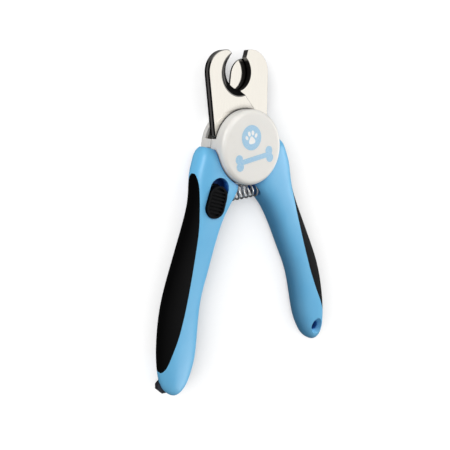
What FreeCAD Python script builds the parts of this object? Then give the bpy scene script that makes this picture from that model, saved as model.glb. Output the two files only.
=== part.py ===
"""Plier-type pet nail clipper, open, lying on its back. Millimetres.

+Z runs up the pivot, +Y towards the jaws, +X to the right. The origin is on the pivot's axis, in the
rear cap's flat face. The two blades slide over each other in the plane Z = MID_Z. What is drawn for the
left side is mirrored in X for the right side.
"""
import FreeCAD, Part
import math
import os

Vec = FreeCAD.Vector
UP = Vec(0, 0, 1)
ORIGIN = Vec(0, 0, 0)

# ---- driving dimensions ------------------------------------------------------------------------
THICK = 17.0                    # rear cap face to front cap face
MID_Z = THICK / 2               # the plane where the blades meet
GAP = 0.05                      # running clearance
CAP_R = 17.3
FRONT_FACE_Z = 18.4
CAP_WALL = 1.5
CAP_FACE = 1.8                  # thickness of a cap's round face
FRONT_RIM_R, REAR_RIM_R = 2.2, 1.8      # how far the rims of the two caps are rounded
BLADE_T = 3.5
GUARD_T = 1.0
EDGE_BREAK = 0.3                # chamfer round the outer face of a jaw
HANDLE_CLEAR_R = 17.9           # bore of a handle shell round the cap that turns in it
HANDLE_FIX_R = CAP_R + GAP      # bore of a handle shell round the cap on its own side
GRIP_DEPTH = 1.6                # thickness of the rubber on a handle

HUB_R = 12.5
BOLT_R = 3.0
BOLT_HEAD_R = 6.0
PEG_R = 1.2
PEG_PITCH_R = 10.0
PEG_ANGLES = (215, 270, 305)    # clear of the guard's swing

# Both jaws are drawn to the upper left. A notch runs from one circle (x, y, radius) on the jaw's outer
# face to another on its cutting face, and the rear jaw's goes straight through.
FRONT_NOTCH = ((-1.7, 33.0, 9.85), (1.3, 34.2, 8.25))
REAR_NOTCH = ((0.6, 34.0, 8.8), (0.6, 34.0, 8.8))
FRONT_TIP = (-5.2, 42.0)
REAR_TIP = (-6.1, 41.4)
JAW_CORNER = ((-8.6, 33.8), 9.9)        # round outer corner of a jaw: centre and radius
HEEL = (1.3, 23.9)

LOCK_CENTRE = Vec(-19.7, -20.9, 0)
LOCK_DIR = Vec(0.345, 0.9386, 0)
LOCK_TRAVEL = 3.5
SLOT_L, SLOT_W = 18.9, 10.2
BUTTON_L, BUTTON_W = 14.9, 9.8
BUTTON_TOP = MID_Z + 7.6
FLANGE_L, FLANGE_W = 16.3, 11.2
FLANGE_Z = (MID_Z + 1.9, MID_Z + 3.5)
LATCH_Z = (MID_Z + 0.4, MID_Z + 1.8)
LATCH_W = 4.0
LATCH_START, LATCH_TIP = -8.0, 13.5     # the latch's two ends, from the slot's centre, unlocked
LEAF_L, LEAF_W, LEAF_ASIDE = 8.6, 2.0, 4.3      # the detent spring, and how far it lies beside the latch
LUG_ANGLE, LUG_HALF = 220.6, 4.8
LUG_R = 14.8

SPRING_Y = -21.35
SPRING_R = 3.3
SPRING_WIRE_R = 0.45
SPRING_TURNS = 6
SPRING_HALF_L = 8.9             # from the middle of the spring to the floor of a pocket
POCKET_R = 4.2

SCREWS = ((-24.4, -36.6), (-29.6, -48.8))
SCREW_HEAD_R, SCREW_HEAD_H = 2.4, 1.7
SCREW_SHANK_R = 1.2
SCREW_SEAT_Z = 4.0
SCREW_END_Z = 13.0

FILE_BUTT = Vec(-46.7, -110.6, 0)
FILE_DIR = Vec(0.150, 0.9887, 0)        # from the butt up into the handle
FILE_Z = 5.4
FILE_T = 1.0
FILE_W = 8.4
FILE_L = 56.7
FILE_HOLD_L = 10.5              # length of the moulded grip
FILE_HOLD_T = 2.6
FILE_NUB, FILE_HEEL = 7.0, 5.0  # how far the grip reaches left and right of the file's line

LANYARD = (45.3, -103.0)
LANYARD_R = 2.4
LANYARD_SINK_R = 4.2
LANYARD_SINK = 2.4                # depth of the flare at each end of the hole

# The handle's cross-sections from the cap to the butt: outer point, inner point, half thickness and
# squareness (2 is an ellipse, more is boxier). The two points lie in the plane Z = MID_Z.
STATIONS = (
    ((-22.0, 2.2), (-9.5, -2.6), 4.5, 3.0),
    ((-23.4, 0.8), (-8.8, -4.0), 5.7, 3.2),
    ((-25.4, -3.2), (-7.2, -9.9), 6.8, 3.3),
    ((-27.5, -9.3), (-4.8, -17.3), 7.1, 3.3),
    ((-28.5, -16.0), (-8.1, -23.6), 7.0, 3.2),
    ((-30.0, -23.5), (-13.2, -30.5), 6.7, 3.0),
    ((-32.8, -31.0), (-16.8, -37.2), 6.5, 2.9),
    ((-36.7, -39.7), (-20.4, -45.8), 6.3, 2.8),
    ((-41.3, -50.0), (-24.5, -56.4), 6.2, 2.7),
    ((-45.9, -60.8), (-28.4, -66.6), 6.2, 2.6),
    ((-49.4, -71.8), (-30.8, -77.0), 6.2, 2.6),
    ((-51.6, -82.8), (-32.3, -86.9), 6.2, 2.5),
    ((-52.6, -92.9), (-34.3, -96.3), 6.0, 2.5),
    ((-52.5, -101.0), (-37.0, -103.1), 5.6, 2.4),
    ((-51.3, -106.6), (-40.0, -108.0), 4.9, 2.3),
    ((-49.3, -109.7), (-42.8, -110.5), 3.5, 2.2),
    ((-47.2, -111.3), (-44.9, -111.5), 1.4, 2.1),
)
CORE_STATIONS = STATIONS[1:15]  # where a handle is thick enough to hold a core inside the rubber

# The rubber's edge is where a tapering tube along the handle's outside meets the handle: centre, radius.
GRIP_TUBE = (
    ((-27.7, -9.2), 1.2),
    ((-27.9, -10.6), 2.8),
    ((-28.1, -12.8), 3.9),
    ((-28.5, -16.4), 4.6),
    ((-29.1, -20.6), 5.0),
    ((-30.3, -25.0), 5.6),
    ((-32.7, -31.0), 6.7),
    ((-36.7, -39.8), 8.0),
    ((-41.3, -50.0), 9.3),
    ((-45.9, -60.8), 10.4),
    ((-49.4, -71.8), 10.3),
    ((-51.6, -82.8), 8.6),
    ((-52.5, -90.0), 6.6),
    ((-52.7, -95.0), 4.6),
    ((-52.5, -97.8), 1.5),
)


# ---- plain shapes ------------------------------------------------------------------------------
def cylinder(radius, z0, z1, x=0.0, y=0.0):
    return Part.makeCylinder(radius, z1 - z0, Vec(x, y, z0), UP)


def cone(r0, r1, z0, z1, x=0.0, y=0.0):
    return Part.makeCone(r0, r1, z1 - z0, Vec(x, y, z0), UP)


def ring(inner, outer, z0, z1):
    return cylinder(outer, z0, z1).cut(cylinder(inner, z0, z1))


def polar(radius, degrees):
    a = math.radians(degrees)
    return Vec(radius * math.cos(a), radius * math.sin(a), 0)


def prism(edges, z0, z1):
    """The closed outline of edges, drawn at Z = 0, as a plate from z0 to z1."""
    face = Part.Face(Part.Wire(edges))
    face.translate(Vec(0, 0, z0))
    return face.extrude(Vec(0, 0, z1 - z0))


def polygon(points, z0, z1):
    corners = [Vec(p[0], p[1], 0) for p in points]
    return prism(Part.makePolygon(corners + corners[:1]).Edges, z0, z1)


def wedge(a0, a1, z0, z1):
    """A pie slice about the pivot from angle a0 to a1 in degrees, wider than the caps."""
    reach = 2 * CAP_R
    rim = [polar(reach, a0 + (a1 - a0) * i / 8) for i in range(9)]
    return polygon([ORIGIN] + rim, z0, z1)


def arc(start, middle, end):
    return Part.Arc(start, middle, end).toShape()


def line(start, end):
    return Part.LineSegment(start, end).toShape()


def stadium(centre, direction, length, width, z0, z1):
    """A plate with round ends, along direction."""
    r = width / 2
    side = Vec(-direction.y, direction.x, 0) * r
    reach = direction * (length / 2 - r)
    a, b = centre - reach, centre + reach
    edges = [
        line(a + side, b + side),
        arc(b + side, b + direction * r, b - side),
        line(b - side, a - side),
        arc(a - side, a - direction * r, a + side),
    ]
    return prism(edges, z0, z1)


def bar(start, direction, length, width, z0, z1):
    """A square-ended plate that starts at start and runs along direction."""
    side = Vec(-direction.y, direction.x, 0) * (width / 2)
    end = start + direction * length
    return polygon((start + side, end + side, end - side, start - side), z0, z1)


def mirrored(shape):
    return shape.mirror(ORIGIN, Vec(1, 0, 0))


def fuse(shapes):
    return shapes[0].multiFuse(list(shapes[1:])).removeSplitter()


def cut(shape, tools):
    return shape.cut(Part.makeCompound(list(tools)))


def horizontal_edges(shape, z):
    """Edges of shape that lie in the plane at height z."""
    return [e for e in shape.Edges if all(abs(v.Z - z) < 1e-6 for v in e.Vertexes)]


def save(name, *solids):
    shape = solids[0] if len(solids) == 1 else Part.makeCompound(list(solids))
    shape.exportStep(f"parts/{name}.step")


# ---- handles -----------------------------------------------------------------------------------
def section(station, inset):
    """A handle's cross-section as one smooth closed curve, inset from its surface."""
    (xo, yo), (xi, yi), half, square = station
    outer, inner = Vec(xo, yo, MID_Z), Vec(xi, yi, MID_Z)
    across = (outer - inner).normalize()
    centre = (outer + inner) * 0.5
    wide = (outer - inner).Length / 2 - inset
    high = half - inset
    count = 32
    points = []
    for i in range(count):
        a = 2 * math.pi * i / count
        c, s = math.cos(a), math.sin(a)
        x = wide * math.copysign(abs(c) ** (2 / square), c)
        z = high * math.copysign(abs(s) ** (2 / square), s)
        points.append(centre + across * x + UP * z)
    curve = Part.BSplineCurve()
    curve.interpolate(Points=points, PeriodicFlag=True)
    return Part.Wire([curve.toShape()])


def handle_form(stations, inset=0.0):
    """The left handle's whole outer form, or its core when inset."""
    return Part.makeLoft([section(s, inset) for s in stations], True, False)


def grip_tube():
    """The tube whose surface cuts the rubber's edge."""
    centres = [Vec(x, y, MID_Z) for (x, y), _ in GRIP_TUBE]
    rings = []
    for i, (_, radius) in enumerate(GRIP_TUBE):
        before = centres[max(i - 1, 0)]
        after = centres[min(i + 1, len(centres) - 1)]
        circle = Part.Circle(centres[i], after - before, radius)
        rings.append(Part.Wire([circle.toShape()]))
    return Part.makeLoft(rings, True, False)


def half_space(z0, z1):
    return Part.makeBox(200, 200, z1 - z0, Vec(-100, -160, z0))


def spring_pocket():
    """The bore in a left handle that holds one end of the coil spring."""
    start = Vec(-SPRING_HALF_L, SPRING_Y, MID_Z)
    return Part.makeCylinder(POCKET_R, SPRING_HALF_L, start, Vec(1, 0, 0))


def screw_holes():
    """Head recesses in the rear shell and shank holes through both shells, left side."""
    cuts = []
    for x, y in SCREWS:
        cuts.append(cylinder(SCREW_HEAD_R + 0.3, -1, SCREW_SEAT_Z, x, y))
        cuts.append(cylinder(SCREW_SHANK_R + GAP, SCREW_SEAT_Z, SCREW_END_Z + 0.5, x, y))
    return cuts


def handle_parts():
    """Front shell, rear shell and rubber grip of a plain left handle."""
    form = handle_form(STATIONS)
    grip = form.common(grip_tube()).cut(handle_form(CORE_STATIONS, GRIP_DEPTH))
    grip = max(grip.Solids, key=lambda solid: solid.Volume)
    shell = cut(form, [grip, spring_pocket()] + screw_holes())
    front = shell.common(half_space(MID_Z, THICK + 1))
    rear = shell.common(half_space(-1, MID_Z))
    return front, rear, grip


def lanyard_hole():
    x, y = LANYARD
    face, over = MID_Z + 5.2, 1.5
    wide = LANYARD_SINK_R + over * (LANYARD_SINK_R - LANYARD_R) / LANYARD_SINK
    return fuse([
        cylinder(LANYARD_R, -1, THICK + 1, x, y),
        cone(LANYARD_R, wide, face - LANYARD_SINK, face + over, x, y),
        cone(wide, LANYARD_R, THICK - face - over, THICK - face + LANYARD_SINK, x, y),
    ])


# ---- blades ------------------------------------------------------------------------------------
def jaw_outline(tip):
    """A jaw from the hub up, in plan, before its notch is cut."""
    (ox, oy), outer_r = JAW_CORNER
    corner = Vec(ox, oy, 0)
    foot, root, waist = Vec(-16.95, 6.8, 0), Vec(11.0, 6.0, 0), Vec(0, -4, 0)
    shoulder = corner + polar(outer_r, 182)
    crown = corner + polar(outer_r, 80)
    tip, heel, neck = Vec(*tip, 0), Vec(*HEEL, 0), Vec(9.4, 13.4, 0)
    return [
        line(foot, shoulder),
        arc(shoulder, corner + polar(outer_r, 131), crown),
        line(crown, tip),
        line(tip, heel),
        line(heel, neck),
        line(neck, root),
        line(root, waist),
        line(waist, foot),
    ]


def notch_cutter(notch, outer_z, cutting_z):
    """What is ground away between the notch's two circles."""
    wires = []
    for (x, y, radius), z in zip(notch, (outer_z, cutting_z)):
        wires.append(Part.Wire([Part.Circle(Vec(x, y, z), UP, radius).toShape()]))
    return Part.makeLoft(wires, True, True)


TANG = ((-12.0, 2.0), (-15.6, -3.4), (-19.4, -8.4), (-22.4, -18.0), (-26.2, -28.0), (-29.0, -36.0),
        (-33.6, -47.0), (-33.4, -51.0), (-30.2, -53.0), (-26.8, -50.8), (-20.6, -38.6),
        (-14.6, -26.4), (-9.8, -16.2), (-4.0, -9.0))


def blade(notch, tip, outer_z, cutting_z):
    """A jaw to the upper left and its hub, as one plate. The jaw's outer edges are broken."""
    z0, z1 = min(outer_z, cutting_z), max(outer_z, cutting_z)
    plate = prism(jaw_outline(tip), z0, z1).cut(notch_cutter(notch, outer_z, cutting_z))
    edges = [e for e in horizontal_edges(plate, outer_z) if min(v.Y for v in e.Vertexes) > 4]
    return fuse([plate.makeChamfer(EDGE_BREAK, edges), cylinder(HUB_R, z0, z1)])


def hub_holes(z0, z1):
    """The bolt's hole and the three that hold a cap's pegs."""
    pegs = [cylinder(PEG_R, z0, z1, *polar(PEG_PITCH_R, a)[:2]) for a in PEG_ANGLES]
    return [cylinder(BOLT_R + GAP, z0, z1)] + pegs


def tang(z0, z1):
    return polygon(TANG, z0, z1)


def tang_with_holes(z0, z1):
    return cut(tang(z0, z1), [cylinder(SCREW_SHANK_R + 0.2, z0, z1, x, y) for x, y in SCREWS])


def build_rear_blade():
    """Right jaw, and the tang that runs into the left handle."""
    z0, z1 = MID_Z - BLADE_T, MID_Z - GAP
    plate = fuse([mirrored(blade(REAR_NOTCH, REAR_TIP, z0, z1)), tang_with_holes(z0, z1)])
    return cut(plate, hub_holes(z0, z1))


def build_front_blade():
    """Left jaw, the tang into the right handle, and the lug that the lock's tongue stops."""
    z0, z1 = MID_Z, MID_Z + BLADE_T - GAP
    lug = ring(HUB_R - 1, LUG_R, z0, z1).common(
        wedge(LUG_ANGLE - LUG_HALF, LUG_ANGLE + LUG_HALF, z0, z1))
    plate = fuse([blade(FRONT_NOTCH, FRONT_TIP, z1, z0), mirrored(tang_with_holes(z0, z1)), lug])
    return cut(plate, hub_holes(z0, z1))


def build_guard():
    """Round-ended plate from the pivot up behind the rear jaw's notch."""
    hub_r, head_r = 7.0, 8.2
    head = Vec(7.2, 31.8, 0)
    z1 = MID_Z - BLADE_T - 2 * GAP
    z0 = z1 - GUARD_T
    lean = math.degrees(math.atan2(head.y, head.x))
    flare = math.degrees(math.acos((hub_r - head_r) / head.Length))
    left, right = lean + flare, lean - flare
    edges = [
        line(polar(hub_r, left), head + polar(head_r, left)),
        arc(head + polar(head_r, left), head + polar(head_r, lean), head + polar(head_r, right)),
        line(head + polar(head_r, right), polar(hub_r, right)),
        arc(polar(hub_r, right), polar(hub_r, lean + 180), polar(hub_r, left)),
    ]
    return prism(edges, z0, z1).cut(cylinder(BOLT_R + GAP, z0, z1))


# ---- caps and pivot ----------------------------------------------------------------------------
def cap(outer_z, rim_z, peg_z, rounding):
    """Round cover: a face at outer_z, a skirt to rim_z and three pegs to peg_z."""
    up = 1 if rim_z > outer_z else -1
    low, high = min(outer_z, rim_z), max(outer_z, rim_z)
    body = cylinder(CAP_R, low, high)
    body = body.makeFillet(rounding, horizontal_edges(body, outer_z))
    inside = outer_z + up * CAP_FACE
    body = body.cut(cylinder(CAP_R - CAP_WALL, min(inside, rim_z), max(inside, rim_z)))
    z0, z1 = min(inside - up, peg_z), max(inside - up, peg_z)
    pegs = [cylinder(PEG_R, z0, z1, *polar(PEG_PITCH_R, a)[:2]) for a in PEG_ANGLES]
    return body, pegs


def build_front_cap():
    """Turns with the front blade. Its skirt is open at the jaw, the tang and the lock's tongue."""
    plate_top = MID_Z + BLADE_T
    body, pegs = cap(FRONT_FACE_Z, MID_Z + 0.2, MID_Z + 1.0, FRONT_RIM_R)
    openings = [(46, 162.5), (-72, 4), (195, 253)]
    body = cut(body, [wedge(a0, a1, MID_Z - 1, plate_top) for a0, a1 in openings])
    return fuse([body] + pegs)


def build_rear_cap():
    """Stays with the rear blade. Its skirt is open at the jaws, the guard and the left tang."""
    body, pegs = cap(0.0, MID_Z - 0.2, MID_Z - 1.0, REAR_RIM_R)
    guard_z = MID_Z - BLADE_T - GUARD_T - 0.3
    openings = [(8, 163, guard_z), (176, 254, MID_Z - BLADE_T - GAP)]
    body = cut(body, [wedge(a0, a1, z, MID_Z) for a0, a1, z in openings])
    return fuse([body] + pegs)


def build_bolt():
    """Round head in the front cap, and a shank to the nut."""
    head_z = MID_Z + BLADE_T + 0.4
    head = cylinder(BOLT_HEAD_R, head_z, head_z + 2.0)
    head = head.makeFillet(0.6, horizontal_edges(head, head_z + 2.0))
    slot = Part.makeBox(2 * BOLT_HEAD_R, 1.2, 0.9, Vec(-BOLT_HEAD_R, -0.6, head_z + 1.1))
    return fuse([head, cylinder(BOLT_R, CAP_FACE + 0.1, head_z)]).cut(slot)


def build_nut():
    """Thin hexagonal nut on the bolt's end."""
    z0 = CAP_FACE + 0.1
    corners = [polar(5.2, 60 * i) for i in range(6)]
    return polygon(corners, z0, z0 + 1.2).cut(cylinder(BOLT_R, z0, z0 + 1.2))


def build_pivot_washer():
    """Flat washer under the bolt's head."""
    z0 = MID_Z + BLADE_T
    return ring(BOLT_R + GAP, 5.4, z0, z0 + 0.35)


def build_wave_washer():
    """Dished spring washer between the nut and the guard."""
    z0 = CAP_FACE + 1.35
    z1 = MID_Z - BLADE_T - GUARD_T - 3 * GAP
    wall = 0.3
    rise = z1 - z0 - wall
    profile = [Vec(BOLT_R + 0.1, 0, z0), Vec(5.0, 0, z0 + rise),
               Vec(5.0, 0, z0 + rise + wall), Vec(BOLT_R + 0.1, 0, z0 + wall)]
    face = Part.Face(Part.makePolygon(profile + profile[:1]))
    return face.revolve(ORIGIN, UP, 360)


# ---- lock --------------------------------------------------------------------------------------
def on_lock(along, aside=0.0):
    """A point by its distance along and beside the lock's line from the slot's centre."""
    return LOCK_CENTRE + LOCK_DIR * along + Vec(LOCK_DIR.y, -LOCK_DIR.x, 0) * aside


def lock_cavity():
    """Slot for the button, room for its flange, and a channel for the latch, in the front shell."""
    room = 0.25
    length = FLANGE_L + LOCK_TRAVEL + 2 * room
    floor = FLANGE_Z[0] - room
    return [
        stadium(LOCK_CENTRE, LOCK_DIR, SLOT_L, SLOT_W, floor, THICK + 1),
        stadium(LOCK_CENTRE, LOCK_DIR, length, FLANGE_W + 2 * room, floor, FLANGE_Z[1] + room),
        bar(on_lock(LATCH_START - room), LOCK_DIR, 33, LATCH_W + 4 * room, MID_Z, LATCH_Z[1] + room),
        bar(on_lock(-LEAF_L / 2 - room, LEAF_ASIDE), LOCK_DIR, LEAF_L + 2 * room, LEAF_W + 2 * room,
            MID_Z, floor),
    ]


def build_lock_button():
    """Ribbed slider at the lower end of its slot, with a flange that keeps it in."""
    centre = on_lock(-LOCK_TRAVEL / 2)
    rib_count, rib_pitch = 7, 1.6
    body = fuse([
        stadium(centre, LOCK_DIR, FLANGE_L, FLANGE_W, *FLANGE_Z),
        stadium(centre, LOCK_DIR, BUTTON_L, BUTTON_W, FLANGE_Z[0], BUTTON_TOP - 0.9),
        stadium(centre, LOCK_DIR, BUTTON_L, BUTTON_W, BUTTON_TOP - 1.0, BUTTON_TOP).cut(
            stadium(centre, LOCK_DIR, BUTTON_L - 2.0, BUTTON_W - 2.0, BUTTON_TOP - 0.9, BUTTON_TOP)),
    ])
    first = -LOCK_TRAVEL / 2 - rib_pitch * (rib_count - 1) / 2
    ribs = [
        bar(on_lock(first + rib_pitch * i - 0.4), LOCK_DIR, 0.8, BUTTON_W - 2.4,
            BUTTON_TOP - 1.0, BUTTON_TOP - 0.1)
        for i in range(rib_count)
    ]
    return fuse([body] + ribs)


def build_lock_latch():
    """Moulded tongue under the button that reaches in past the front blade's lug."""
    return bar(on_lock(LATCH_START), LOCK_DIR, LATCH_TIP - LATCH_START, LATCH_W, *LATCH_Z)


def build_detent_spring():
    """Thin leaf beside the latch, with a bump in its middle that rubs on the flange."""
    z0, wall = MID_Z, 0.3
    leaf = bar(on_lock(-LEAF_L / 2, LEAF_ASIDE), LOCK_DIR, LEAF_L, LEAF_W, z0, z0 + wall)
    bump = cylinder(0.8, z0 + wall, FLANGE_Z[0] - GAP, *on_lock(0, LEAF_ASIDE)[:2])
    return fuse([leaf, bump])


# ---- spring, screws and file -------------------------------------------------------------------
def build_return_spring():
    """Helix along X between the two pockets."""
    length = 2 * (SPRING_HALF_L - SPRING_WIRE_R - 0.1)
    pitch = length / SPRING_TURNS
    path = Part.makeHelix(pitch, length, SPRING_R)
    start = path.Vertexes[0].Point
    wire_end = Part.Wire([Part.Circle(start, Vec(0, 1, 0), SPRING_WIRE_R).toShape()])
    coil = Part.Wire(path).makePipeShell([wire_end], True, True)
    coil.rotate(ORIGIN, Vec(0, 1, 0), 90)
    coil.translate(Vec(-length / 2, SPRING_Y, MID_Z))
    return coil


def build_screws():
    """Pan-head screws from the back through a left handle's shells and the tang."""
    screws = []
    for x, y in SCREWS:
        z0 = SCREW_SEAT_Z - SCREW_HEAD_H
        head = cylinder(SCREW_HEAD_R, z0, SCREW_SEAT_Z, x, y)
        head = head.makeFillet(0.5, horizontal_edges(head, z0))
        drive = Part.makeBox(3.2, 0.7, 0.8, Vec(x - 1.6, y - 0.35, z0))
        cross = Part.makeBox(0.7, 3.2, 0.8, Vec(x - 0.35, y - 1.6, z0))
        screw = fuse([head, cylinder(SCREW_SHANK_R, SCREW_SEAT_Z, SCREW_END_Z, x, y)])
        screws.append(cut(screw, [drive, cross]))
    return screws


def on_file(along, aside=0.0):
    """A point by its distance from the file's outer end, and to the left of its line."""
    return FILE_BUTT + FILE_DIR * along + Vec(-FILE_DIR.y, FILE_DIR.x, 0) * aside


def file_hold_outline():
    """The file's flared grip, with its hooked nub on the left."""
    return [on_file(along, aside) for along, aside in (
        (FILE_HOLD_L, 4.6), (6.6, 4.8), (4.6, FILE_NUB), (2.2, 6.8), (0, 4.4), (0, -3.6),
        (2.4, -FILE_HEEL), (FILE_HOLD_L, -4.6))]


def build_file_blade():
    """Steel strip with a round tip, let into the moulded grip."""
    r = FILE_W / 2
    start, end = FILE_HOLD_L - 6.0, FILE_L - r
    edges = [
        line(on_file(start, r), on_file(end, r)),
        arc(on_file(end, r), on_file(FILE_L), on_file(end, -r)),
        line(on_file(end, -r), on_file(start, -r)),
        line(on_file(start, -r), on_file(start, r)),
    ]
    return prism(edges, FILE_Z, FILE_Z + FILE_T)


def build_file_grip(strip):
    middle = FILE_Z + FILE_T / 2
    body = polygon(file_hold_outline(), middle - FILE_HOLD_T / 2, middle + FILE_HOLD_T / 2)
    return body.cut(strip)


def file_cavity():
    """Slot for the strip and an open recess for its grip, in the left rear shell."""
    room = 0.25
    middle, half = FILE_Z + FILE_T / 2, FILE_HOLD_T / 2 + room
    outside, left, right = -8.0, FILE_NUB + room, -FILE_HEEL - room
    recess = [on_file(along, aside) for along, aside in (
        (FILE_HOLD_L + room, 4.6 + room), (6.6, 4.8 + room), (4.6 + room, left), (outside, left),
        (outside, right), (FILE_HOLD_L + room, right))]
    return [
        bar(on_file(FILE_HOLD_L - 1), FILE_DIR, FILE_L - FILE_HOLD_L + 2, FILE_W + 2 * room,
            FILE_Z - room, FILE_Z + FILE_T + room),
        polygon(recess, middle - half, middle + half),
    ]


# ---- the assembly ------------------------------------------------------------------------------
def build():
    os.makedirs("parts", exist_ok=True)
    front, rear, grip = handle_parts()
    low, split, high = -1, MID_Z, THICK + 1
    turning = HANDLE_CLEAR_R
    fixed = HANDLE_FIX_R

    save("left_handle_front", cut(front, [cylinder(turning, split, high)] + lock_cavity()))
    save("left_handle_rear", cut(rear, [
        cylinder(fixed, low, split), tang(MID_Z - BLADE_T - GAP, split)] + file_cavity()))
    save("left_grip", cut(grip, file_cavity() + lock_cavity()))
    save("left_handle_screws", *build_screws())

    right_front = cut(front, [cylinder(fixed, split, high), tang(split, MID_Z + BLADE_T)])
    save("right_handle_front", mirrored(right_front).cut(lanyard_hole()))
    right_rear = mirrored(cut(rear, [cylinder(turning, low, split)]))
    save("right_handle_rear", right_rear.cut(lanyard_hole()))
    save("right_grip", mirrored(grip))
    save("right_handle_screws", *[mirrored(screw) for screw in build_screws()])

    save("rear_blade", build_rear_blade())
    save("front_blade", build_front_blade())
    save("safety_guard", build_guard())
    save("front_cap", build_front_cap())
    save("rear_cap", build_rear_cap())
    save("pivot_bolt", build_bolt())
    save("pivot_nut", build_nut())
    save("pivot_washer", build_pivot_washer())
    save("wave_washer", build_wave_washer())
    save("lock_button", build_lock_button())
    save("lock_latch", build_lock_latch())
    save("lock_detent_spring", build_detent_spring())
    save("return_spring", build_return_spring())
    strip = build_file_blade()
    save("file_blade", strip)
    save("file_grip", build_file_grip(strip))


build()
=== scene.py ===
"""Pliers-type pet nail clipper: finishes, printed emblem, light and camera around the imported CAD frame."""
import math

import bmesh
import bpy
from mathutils import Matrix, Vector


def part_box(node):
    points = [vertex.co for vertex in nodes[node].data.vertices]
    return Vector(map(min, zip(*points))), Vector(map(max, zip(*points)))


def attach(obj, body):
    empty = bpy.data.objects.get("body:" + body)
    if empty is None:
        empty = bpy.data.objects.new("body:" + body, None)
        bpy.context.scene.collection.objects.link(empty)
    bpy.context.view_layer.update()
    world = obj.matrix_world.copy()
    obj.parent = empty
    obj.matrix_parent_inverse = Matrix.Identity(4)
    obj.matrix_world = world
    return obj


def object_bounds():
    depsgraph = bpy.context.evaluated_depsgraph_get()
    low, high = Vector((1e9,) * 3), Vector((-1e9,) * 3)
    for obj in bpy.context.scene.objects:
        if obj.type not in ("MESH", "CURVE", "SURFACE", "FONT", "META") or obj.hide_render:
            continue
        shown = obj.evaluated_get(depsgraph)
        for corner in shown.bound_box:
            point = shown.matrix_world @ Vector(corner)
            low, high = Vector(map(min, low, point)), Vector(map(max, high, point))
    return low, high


MM = 0.001
EDGE_SAMPLES = 6                        # rays that look for edges and nooks at each point
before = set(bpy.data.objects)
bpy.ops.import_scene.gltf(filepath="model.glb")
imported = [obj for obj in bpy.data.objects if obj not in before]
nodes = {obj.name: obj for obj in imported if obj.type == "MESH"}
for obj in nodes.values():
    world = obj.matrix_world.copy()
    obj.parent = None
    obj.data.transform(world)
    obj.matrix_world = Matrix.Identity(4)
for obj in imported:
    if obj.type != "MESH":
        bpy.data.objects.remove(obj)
cad_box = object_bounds()


# ---- Shader building -------------------------------------------------------------------------------------

def linear(red, green, blue):
    """An sRGB colour, 0 to 255, as the linear RGBA that Blender's sockets take."""
    def channel(value):
        value /= 255
        return value / 12.92 if value <= 0.04045 else ((value + 0.055) / 1.055) ** 2.4
    return channel(red), channel(green), channel(blue), 1.0


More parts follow.
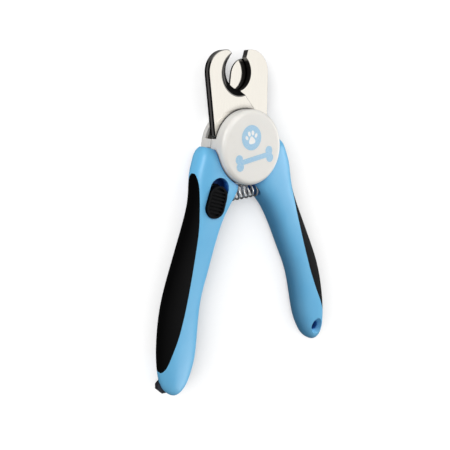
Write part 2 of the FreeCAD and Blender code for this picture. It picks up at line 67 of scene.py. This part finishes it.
class Finish:
    """A material with one Principled shader, and short calls that add nodes to it."""

    def __init__(self, name, **sockets):
        self.material = bpy.data.materials.new(name)
        self.material.use_nodes = True
        self.tree = self.material.node_tree
        self.shader = self.tree.nodes["Principled BSDF"]
        self.set(self.shader, sockets)
        self.material.diffuse_color = self.shader.inputs["Base Color"].default_value
        self.place = self.add("ShaderNodeTexCoord").outputs["Object"]

    def set(self, node, sockets):
        """Gives sockets, by name or number, their values. A name's underscores stand for spaces, and a
        value that is itself a socket is linked."""
        for name, value in sockets.items():
            socket = node.inputs[name if isinstance(name, int) else name.replace("_", " ")]
            if isinstance(value, bpy.types.NodeSocket):
                self.tree.links.new(value, socket)
            else:
                socket.default_value = value

    def add(self, kind, settings=None, **sockets):
        node = self.tree.nodes.new(kind)
        for name, value in (settings or {}).items():
            setattr(node, name, value)
        self.set(node, sockets)
        return node

    def math(self, operation, first, second=0.0):
        node = self.add("ShaderNodeMath", {"operation": operation})
        self.set(node, {0: first, 1: second})
        return node.outputs[0]

    def spread(self, value, low, high, to_low=0.0, to_high=1.0):
        """value, moved from the range low..high to to_low..to_high, and kept inside it."""
        node = self.add("ShaderNodeMapRange", Value=value, From_Min=low, From_Max=high,
                        To_Min=to_low, To_Max=to_high)
        return node.outputs["Result"]

    def stretched(self, turn=0.0, scale=(1, 1, 1)):
        """Object coordinates turned about Z by turn degrees, then scaled."""
        turned = self.add("ShaderNodeMapping", Vector=self.place, Rotation=(0, 0, math.radians(turn)))
        return self.add("ShaderNodeMapping", Vector=turned.outputs[0], Scale=scale).outputs[0]

    def noise(self, size, detail=2.0, where=None):
        """A noise whose features are about size metres across, from 0 to 1."""
        return self.add("ShaderNodeTexNoise", Vector=where or self.place, Scale=1 / size,
                        Detail=detail).outputs[0]

    def blend(self, factor, first, second):
        """first where factor is 0, second where it is 1. Both are colours."""
        node = self.add("ShaderNodeMix", {"data_type": "RGBA"})
        self.set(node, {0: factor, 6: first, 7: second})
        return node.outputs[2]

    def facing(self, axis):
        """How far the surface faces along an object axis, 0 to 2 for X to Z, as a value from -1 to 1."""
        normal = self.add("ShaderNodeNewGeometry").outputs["Normal"]
        turned = self.add("ShaderNodeVectorTransform",
                          {"vector_type": "NORMAL", "convert_from": "WORLD", "convert_to": "OBJECT"},
                          Vector=normal)
        return self.add("ShaderNodeSeparateXYZ", Vector=turned.outputs[0]).outputs[axis]

    def rounding(self, radius):
        """Normals as they would be if every edge had this radius."""
        return self.add("ShaderNodeBevel", {"samples": EDGE_SAMPLES}, Radius=radius).outputs[0]

    def edges(self, rounded):
        """0 on open surfaces and up to 1 along edges."""
        normal = self.add("ShaderNodeNewGeometry").outputs["Normal"]
        node = self.add("ShaderNodeVectorMath", {"operation": "DOT_PRODUCT"})
        self.set(node, {0: rounded, 1: normal})
        return self.spread(node.outputs["Value"], 1.0, 0.8)

    def nooks(self, reach, clear, deep):
        """0 where the share of open sky within reach metres is clear or more, 1 where it is deep or less."""
        node = self.add("ShaderNodeAmbientOcclusion", {"samples": EDGE_SAMPLES}, Distance=reach)
        return self.spread(node.outputs["AO"], clear, deep)

    def bump(self, height, depth, strength=1.0, under=None):
        """Normals for a relief: height from 0 to 1 stands for depth metres. It lies on the normals under."""
        sockets = {"Height": height, "Distance": depth, "Strength": strength}
        if under is not None:
            sockets["Normal"] = under
        return self.add("ShaderNodeBump", **sockets).outputs[0]

    def surface(self, **sockets):
        self.set(self.shader, sockets)
        return self.material


# Size of the tint's mottling, and size and depth of the shallow sink marks.
MOTTLING_SIZE, SINK_SIZE, SINK_DEPTH = 9 * MM, 6 * MM, 0.04 * MM
WORN_SHARE = 0.5                        # how far the sharpest edges go towards the worn colour
SLOT_SHADE_REACH, SLOT_SHADE_CLEAR, SLOT_SHADE_DEEP = 5 * MM, 0.85, 0.5       # painted shade in slots and holes; see Finish.nooks


def moulded(name, colour, worn, roughness, grain, depth, edge, deep=None, **sockets):
    """Moulded plastic or rubber: fine grain, faint mottling and sink marks, and edges handled until they
    are paler. Where deep is given, slots and holes take that colour as painted shade."""
    finish = Finish(name, **sockets)
    rounded = finish.rounding(edge)
    mottling = finish.noise(MOTTLING_SIZE, 3)
    body = finish.blend(finish.spread(mottling, 0.3, 0.7, 0, 0.35), colour, worn)
    tint = finish.blend(finish.math("MULTIPLY", finish.edges(rounded), WORN_SHARE), body, worn)
    if deep:
        # painted shade: closed-in slots and holes darken towards the deep colour
        tint = finish.blend(finish.nooks(SLOT_SHADE_REACH, SLOT_SHADE_CLEAR, SLOT_SHADE_DEEP), tint, deep)
    pebbles = finish.noise(grain, 2)
    sinks = finish.bump(finish.noise(SINK_SIZE, 1), SINK_DEPTH, under=rounded)
    relief = finish.bump(pebbles, depth, under=sinks)
    gloss = finish.spread(finish.math("ADD", mottling, pebbles), 0.6, 1.4, roughness - 0.05, roughness + 0.06)
    return finish.surface(Base_Color=tint, Roughness=gloss, Normal=relief)


def darker(colour, share):
    """This share of a linear colour, still opaque."""
    return tuple(c * share for c in colour[:3]) + (1.0,)


# Where the blades' painted reflections, highlights and shade change. Each pair runs from no change to the
# whole of it, in object coordinates.
CROWN_Y = (38.4 * MM, 40.2 * MM)        # round end of a jaw
NOTCH_Y = (33 * MM, 37 * MM)            # end of the front blade's notch, where a painted highlight lies
NOTCH_HIGHLIGHT = 0.15                        # most of the painted highlight that the notch takes
BAND_FOOT_Z, BAND_TOP_Z = (9.6 * MM, 9.9 * MM), (11.2 * MM, 10.9 * MM)      # height of the painted highlight band
BAND_X = (-8 * MM, -9 * MM)             # outer side of the front blade, where the painted highlight band lies
CAP_SHADE_R = (21 * MM, 19 * MM)        # distance from the pivot's axis where the painted shade by the cap fades in
CAP_SHADE = 0.6                         # most of the painted shade that the flats take there
POLISH_TURN = 4                         # degrees, the direction of the polishing lines
# Blade colours: the flats' own colour, the painted dark reflection of the sides and painted corner shade, and
# the painted bright reflection of the sides; below it the painted shade by the cap.
STEEL_FACE, STEEL_PAINTED_DARK, STEEL_PAINTED_BRIGHT = linear(250, 246, 238), linear(44, 42, 43), linear(226, 224, 220)
STEEL_SHADE = linear(120, 117, 114)


def blade_steel(name, painted_side_highlights=False):
    """Polished plate. Its flats are bright with faint polishing lines, with painted shade close by the cap
    and in corners. Its sides have a painted dark reflection with a ground grain, and a painted bright
    reflection round the jaw's end. When the flag is set, it also has painted highlights at the notch's end
    and along its outer side."""
    finish = Finish(name, Metallic=1.0)
    rounded = finish.rounding(0.12 * MM)
    across = finish.facing(0)
    flat = finish.spread(finish.math("ABSOLUTE", finish.facing(2)), 0.82, 0.96)
    place = finish.add("ShaderNodeSeparateXYZ", Vector=finish.place).outputs
    crown = finish.spread(place["Y"], *CROWN_Y)
    # painted reflection: round the jaw's end the sides go bright, all but the end face that looks along -X
    painted_bright_share = finish.math("MULTIPLY", crown, finish.spread(across, -0.97, -0.9))
    # painted highlights on the front blade: a pale patch where the notch ends and a pale band along the outer
    # side
    if painted_side_highlights:
        notch = finish.math("MULTIPLY", finish.spread(across, 0.1, 0.5),
                            finish.spread(place["Y"], *NOTCH_Y, 0, NOTCH_HIGHLIGHT))
        height = finish.math("MULTIPLY", finish.spread(place["Z"], *BAND_FOOT_Z),
                             finish.spread(place["Z"], *BAND_TOP_Z))
        band = finish.math("MULTIPLY", height, finish.spread(place["X"], *BAND_X))
        painted_bright_share = finish.math("MAXIMUM", finish.math("MAXIMUM", painted_bright_share, notch), band)
    lines = finish.noise(0.25 * MM, 4, finish.stretched(POLISH_TURN, (1, 0.02, 1)))
    cloud = finish.noise(12 * MM, 3)
    ground = finish.noise(0.2 * MM, 3, finish.stretched(0, (1, 1, 0.05)))
    dull = finish.spread(cloud, 0.35, 0.65, 0.08, 0.13)
    side = finish.spread(ground, 0.3, 0.7, 0.34, 0.5)
    gloss = finish.add("ShaderNodeMix", {"data_type": "FLOAT"})
    finish.set(gloss, {0: flat, 2: side, 3: dull})
    bright = finish.blend(finish.spread(lines, 0.3, 0.7, 0, 0.6), STEEL_FACE, darker(STEEL_FACE, 0.94))
    # painted dark reflection on the sides, with a ground grain
    painted_dark_side = finish.blend(finish.spread(ground, 0.3, 0.7), STEEL_PAINTED_DARK, darker(STEEL_PAINTED_DARK, 0.5))
    # the sides: painted dark reflection, and painted bright reflection where the share says
    sides = finish.blend(painted_bright_share, painted_dark_side, STEEL_PAINTED_BRIGHT)
    relief = finish.bump(lines, 0.001 * MM, 0.5, rounded)
    whole = finish.blend(flat, sides, bright)
    from_pivot = finish.add("ShaderNodeVectorMath", {"operation": "LENGTH"},
                            Vector=finish.stretched(0, (1, 1, 0))).outputs["Value"]
    # painted shade on the flats near the cap, where the cap closes in the sky
    painted_cap_shade = finish.math("MULTIPLY", finish.spread(from_pivot, *CAP_SHADE_R, 0, CAP_SHADE),
                            finish.nooks(3.5 * MM, 0.92, 0.6))
    shaded = finish.blend(painted_cap_shade, whole, STEEL_SHADE)
    # painted shade: closed-in corners, such as along the step between the blades, take the dark colour
    corner_shade = finish.nooks(1.2 * MM, 0.93, 0.68)
    return finish.surface(Base_Color=finish.blend(corner_shade, shaded, STEEL_PAINTED_DARK),
                          Roughness=gloss.outputs[0], Normal=relief)


def wire(name, colour, roughness):
    """Drawn or plated steel with fine lines and small dull patches."""
    finish = Finish(name, Metallic=1.0)
    patches = finish.noise(1.5 * MM, 3)
    grain = finish.noise(0.15 * MM, 2)
    return finish.surface(
        Base_Color=finish.blend(finish.spread(patches, 0.4, 0.75, 0, 0.6), colour, darker(colour, 0.6)),
        Roughness=finish.spread(patches, 0.3, 0.7, roughness, roughness + 0.15),
        Normal=finish.bump(grain, 0.01 * MM, 0.6, finish.rounding(0.1 * MM)))


GROOVE_PITCH, GROOVE_LEAN, GROOVE_DEPTH = 0.974 * MM, 62, 0.08 * MM
BANDS_PER_UNIT = 20 / (2 * math.pi)     # bands of a wave texture in one unit, at a scale of 1


def cross_cut(name, colour, turn):
    """The file, whose length lies turn degrees from Y: two sets of fine crossing grooves on its flats, with
    painted shade in the grooves; its sides take the same darker colour.
    """
    finish = Finish(name, Metallic=1.0)
    cuts = []
    for lean in (GROOVE_LEAN, -GROOVE_LEAN):
        wave = finish.add("ShaderNodeTexWave", {"wave_type": "BANDS", "bands_direction": "X"},
                          Vector=finish.stretched(turn + lean), Distortion=0.0,
                          Scale=1 / (GROOVE_PITCH * BANDS_PER_UNIT))
        cuts.append(wave.outputs["Fac"])
    teeth = finish.math("MINIMUM", cuts[0], cuts[1])
    flat = finish.spread(finish.math("ABSOLUTE", finish.facing(2)), 0.8, 0.95)
    height = finish.math("MULTIPLY", teeth, flat)
    return finish.surface(Base_Color=finish.blend(height, darker(colour, 0.55), colour),
                          Roughness=finish.spread(height, 0, 1, 0.5, 0.3),
                          Normal=finish.bump(height, GROOVE_DEPTH))


BLUE = linear(98, 174, 217)
BLUE_WORN = linear(114, 185, 222)
FINISHES = {
    # deep: the painted shade colour in the handles' slots and holes
    "blue_plastic": moulded("clipper.blue_plastic", BLUE, BLUE_WORN, 0.42, 0.14 * MM, 0.006 * MM, 0.35 * MM,
                            deep=linear(20, 76, 158), Specular_IOR_Level=0.45),
    "black_rubber": moulded("clipper.black_rubber", linear(9, 9, 10), linear(17, 17, 18), 0.7, 0.22 * MM,
                            0.03 * MM, 0.3 * MM, Specular_IOR_Level=0.12),
    "white_plastic": moulded("clipper.white_plastic", linear(233, 231, 226), linear(241, 239, 235), 0.3,
                             0.12 * MM, 0.003 * MM, 0.3 * MM, Specular_IOR_Level=0.4,
                             Subsurface_Weight=0.35, Subsurface_Radius=(1.0, 0.95, 0.9),
                             Subsurface_Scale=2.0 * MM),
    "black_plastic": moulded("clipper.black_plastic", linear(7, 8, 10), linear(17, 18, 21), 0.5, 0.12 * MM,
                             0.01 * MM, 0.2 * MM, Specular_IOR_Level=0.06),
    "grey_plastic": moulded("clipper.grey_plastic", linear(66, 66, 74), linear(86, 86, 92), 0.5, 0.15 * MM,
                            0.012 * MM, 0.2 * MM, Specular_IOR_Level=0.4),
    "polished_steel": blade_steel("clipper.polished_steel"),
    "file_steel": cross_cut("clipper.file_steel", linear(205, 203, 198), 9),
    "spring_steel": wire("clipper.spring_steel", linear(214, 213, 212), 0.2),
    "zinc_steel": wire("clipper.zinc_steel", linear(198, 200, 204), 0.28),
}
for node in nodes.values():
    for holder in node.material_slots:
        for slot, material in FINISHES.items():
            if holder.material and slot in holder.material.name:
                holder.material = material
# the front blade also takes the painted highlights at its notch and outer side
nodes["front_blade"].material_slots[0].material = blade_steel("clipper.front_blade", painted_side_highlights=True)


# ---- Printed emblem on the front cap ---------------------------------------------------------------------

INK_THICK = 0.015 * MM
EMBLEM_TURN = 7.5                       # degrees from the Y axis to the emblem's own upright
DISC_CENTRE, DISC_R = (-1.1, 4.7), 5.7  # mm from the pivot's axis
BONE_CENTRE, BONE_HALF_LENGTH, BONE_KNOB = (0.4, -5.0), 9.0, 2.1


def ellipse(x, y, wide, high, lean=0.0, count=56):
    """Points of an ellipse with these half sizes, leant by lean degrees."""
    turn = Matrix.Rotation(math.radians(lean), 2)
    return [Vector((x, y)) + turn @ Vector((wide * math.cos(a), high * math.sin(a)))
            for a in (2 * math.pi * i / count for i in range(count))]


def rounded_shape(radius_at, x, y, count=96):
    """Points round (x, y) whose distance at each angle is given by a function of the angle."""
    angles = [2 * math.pi * i / count for i in range(count)]
    return [Vector((x + radius_at(a) * math.cos(a), y + radius_at(a) * math.sin(a))) for a in angles]


def printed(name, outlines, z, centre, material):
    """A thin layer of ink on the front cap, from height z in metres. Outlines and centre are in mm."""
    mesh = bmesh.new()
    spin = Matrix.Rotation(math.radians(EMBLEM_TURN), 2)
    for outline in outlines:
        points = [(spin @ point + Vector(centre)) * MM for point in outline]
        low, high = ([mesh.verts.new((point.x, point.y, level)) for point in points]
                     for level in (z, z + INK_THICK))
        mesh.faces.new(reversed(low))
        mesh.faces.new(high)
        for i in range(len(points)):
            mesh.faces.new((low[i - 1], low[i], high[i], high[i - 1]))
    bmesh.ops.recalc_face_normals(mesh, faces=mesh.faces)
    data = bpy.data.meshes.new(name)
    mesh.to_mesh(data)
    mesh.free()
    data.materials.append(material)
    piece = bpy.data.objects.new(name, data)
    bpy.context.scene.collection.objects.link(piece)
    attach(piece, "right_half")


def ink(name, colour, pale):
    """Pad-printed ink: a matt film with pale specks where it is thin."""
    finish = Finish(name, Specular_IOR_Level=0.4)
    speckle = finish.noise(0.35 * MM, 3)
    return finish.surface(Base_Color=finish.blend(finish.spread(speckle, 0.45, 0.8), colour, pale),
                          Roughness=finish.spread(speckle, 0.3, 0.7, 0.4, 0.55))


blue_ink = ink("clipper.blue_ink", linear(150, 194, 224), linear(186, 212, 228))
white_ink = ink("clipper.white_ink", linear(240, 239, 236), linear(226, 230, 232))
cap_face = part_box("front_cap")[1].z
printed("emblem_disc", [ellipse(0, 0, DISC_R, DISC_R)], cap_face, DISC_CENTRE, blue_ink)
PAW = [
    rounded_shape(lambda a: 1.75 + 0.22 * math.cos(3 * (a - math.pi / 2)) - 0.12 * math.sin(a), 0, -1.25),
    ellipse(-2.75, 0.45, 0.75, 1.05, 28), ellipse(-1.05, 1.95, 0.8, 1.15, 8),
    ellipse(1.05, 1.95, 0.8, 1.15, -8), ellipse(2.75, 0.45, 0.75, 1.05, -28),
]
printed("emblem_paw", PAW, cap_face + INK_THICK, DISC_CENTRE, white_ink)


def bone_outline(half_length, knob):
    """A plain bone: two knobs at each end of a shaft. Angles are in degrees round each knob's centre."""
    points = []
    steps = 24
    for end, up, start, stop in ((1, -1, -194, 45), (1, 1, -45, 194), (-1, 1, -14, 225), (-1, -1, 135, 374)):
        for i in range(steps + 1):
            a = math.radians(start + (stop - start) * i / steps)
            points.append(Vector((end * half_length + knob * math.cos(a),
                                  0.8 * up * knob + knob * math.sin(a))))
    return points


printed("emblem_bone", [bone_outline(BONE_HALF_LENGTH, BONE_KNOB)], cap_face, BONE_CENTRE, blue_ink)


# ---- Light, floor and camera ----------------------------------------------------------------------------

def area_light(name, place, aim, size, power, colour):
    """A soft square lamp at place that points at aim. Sizes and places are in metres."""
    lamp = bpy.data.lights.new(name, "AREA")
    lamp.shape, lamp.size, lamp.energy, lamp.color = "SQUARE", size, power, colour
    thing = bpy.data.objects.new(name, lamp)
    thing.location = place
    thing.rotation_euler = (Vector(aim) - Vector(place)).to_track_quat("-Z", "Y").to_euler()
    bpy.context.scene.collection.objects.link(thing)
    return thing


FLOOR_SIZE = 20.0                       # metres, so that its edge is far off at low angles
bpy.ops.mesh.primitive_plane_add(size=FLOOR_SIZE, location=(0, 0, cad_box[0].z))
floor = bpy.context.object
floor.name = "studio_floor"
paper = Finish("studio.paper", Roughness=0.9, Specular_IOR_Level=0.1)
fibres = paper.noise(4 * MM, 4)
floor.data.materials.append(paper.surface(
    Base_Color=paper.blend(fibres, linear(250, 250, 250), linear(247, 247, 247))))


def receives(lamp, things, state):
    """Light linking: state INCLUDE lights these things only, and EXCLUDE lights all but them."""
    chosen = bpy.data.collections.new(lamp.name + ".light")
    for i, thing in enumerate(things):
        chosen.objects.link(thing)
        chosen.collection_objects[i].light_linking.link_state = state
    lamp.light_linking.receiver_collection = chosen


CENTRE = (0.0, -0.04, 0.008)
LEFT_HANDLE = (-0.03, -0.04, 0.008)
WHITE = (1.0, 1.0, 1.0)
left_shells = [nodes["left_handle_front"], nodes["left_handle_rear"]]
right_shells = [nodes["right_handle_front"], nodes["right_handle_rear"]]
caps = [nodes["front_cap"], nodes["rear_cap"]]
blades = [nodes["front_blade"], nodes["rear_blade"], nodes["safety_guard"]]

# Soft lamps: name, place, aim, size, power, colour, and the parts that it leaves out or lights alone.
LAMPS = (
    ("key", (0.05, 0.40, 0.50), CENTRE, 0.40, 1.6, (1.0, 0.99, 0.97), "EXCLUDE",
     [floor] + left_shells + blades),
    ("right", (0.30, -0.01, 0.20), CENTRE, 0.20, 0.72, WHITE, "EXCLUDE", [floor] + blades + caps),
    ("card", (0.42, -0.06, 0.56), (-0.005, 0.02, 0.012), 0.34, 0.22, (1.0, 0.985, 0.95), "EXCLUDE", [floor]),
    ("left", (-0.30, 0.12, 0.08), LEFT_HANDLE, 0.20, 1.1, WHITE, "INCLUDE", left_shells),
    ("low_right", (0.16, -0.32, 0.20), LEFT_HANDLE, 0.20, 0.68, WHITE, "INCLUDE", left_shells),
    ("cool_fill", (-0.25, -0.15, 0.20), CENTRE, 0.20, 0.10, (0.75, 0.93, 1.25), "INCLUDE", right_shells),
    ("cap_left", (-0.30, 0.16, 0.06), CENTRE, 0.20, 0.85, WHITE, "INCLUDE", caps),
    ("cap_right", (0.32, -0.06, 0.14), CENTRE, 0.20, 0.58, WHITE, "INCLUDE", caps),
)
for name, place, aim, size, power, tint, state, things in LAMPS:
    receives(area_light(name, place, aim, size, power, tint), things, state)

# Suns that light only the floor, the first with the object's soft shadow: name, direction, strength, width
# in degrees, and whether it casts a shadow.
SUNS = (
    ("backdrop", (1.3, -0.6, -1.0), 2.9, 50, True),
    ("backdrop_fill", (0.0, 0.0, -1.0), 0.85, 5, False),
)
for name, aim, power, spread, casts in SUNS:
    sun = bpy.data.lights.new(name, "SUN")
    sun.energy, sun.angle, sun.use_shadow = power, math.radians(spread), casts
    lamp = bpy.data.objects.new(name, sun)
    lamp.rotation_euler = Vector(aim).to_track_quat("-Z", "Y").to_euler()
    bpy.context.scene.collection.objects.link(lamp)
    receives(lamp, [floor], "INCLUDE")
floor.visible_diffuse = floor.visible_glossy = False      # the bright floor throws no light on the object

# The world is dim below the horizon and brighter overhead. Heights are of a direction, from -1 to 1.
SKY_HEIGHTS, SKY_STRENGTHS = (-0.25, 0.35), (0.08, 0.38)
world = bpy.data.worlds.new("studio")
world.use_nodes = True
tree = world.node_tree
direction = tree.nodes.new("ShaderNodeTexCoord")
height = tree.nodes.new("ShaderNodeSeparateXYZ")
tree.links.new(direction.outputs["Generated"], height.inputs[0])
ramp = tree.nodes.new("ShaderNodeMapRange")
tree.links.new(height.outputs["Z"], ramp.inputs["Value"])
for socket, value in zip(("From Min", "From Max", "To Min", "To Max"), SKY_HEIGHTS + SKY_STRENGTHS):
    ramp.inputs[socket].default_value = value
tree.links.new(ramp.outputs["Result"], tree.nodes["Background"].inputs["Strength"])
tree.nodes["Background"].inputs["Color"].default_value = (1.0, 1.0, 1.0, 1.0)
bpy.context.scene.world = world
bpy.context.scene.view_settings.view_transform = "Standard"

CAMERA_PLACE = Vector((-175.1, 32.3, 226.1)) * MM
CAMERA_AIM = Vector((-10.95, -36.03, 8.5)) * MM
CAMERA_ROLL = -2.51                     # degrees about the line of sight, from +Y upright
LENS_MM, SENSOR_MM = 47.45, 36.0
lens = bpy.data.cameras.new("camera")
lens.lens, lens.sensor_width = LENS_MM, SENSOR_MM
lens.clip_start, lens.clip_end = 0.01, 20.0
camera = bpy.data.objects.new("camera", lens)

ahead = (CAMERA_AIM - CAMERA_PLACE).normalized()
across = ahead.cross(Vector((0, 1, 0))).normalized()
level = Matrix((across, across.cross(ahead), -ahead)).transposed()
rolled = level @ Matrix.Rotation(math.radians(CAMERA_ROLL), 3, "Z")
camera.matrix_world = Matrix.Translation(CAMERA_PLACE) @ rolled.to_4x4()
bpy.context.scene.collection.objects.link(camera)
bpy.context.scene.camera = camera
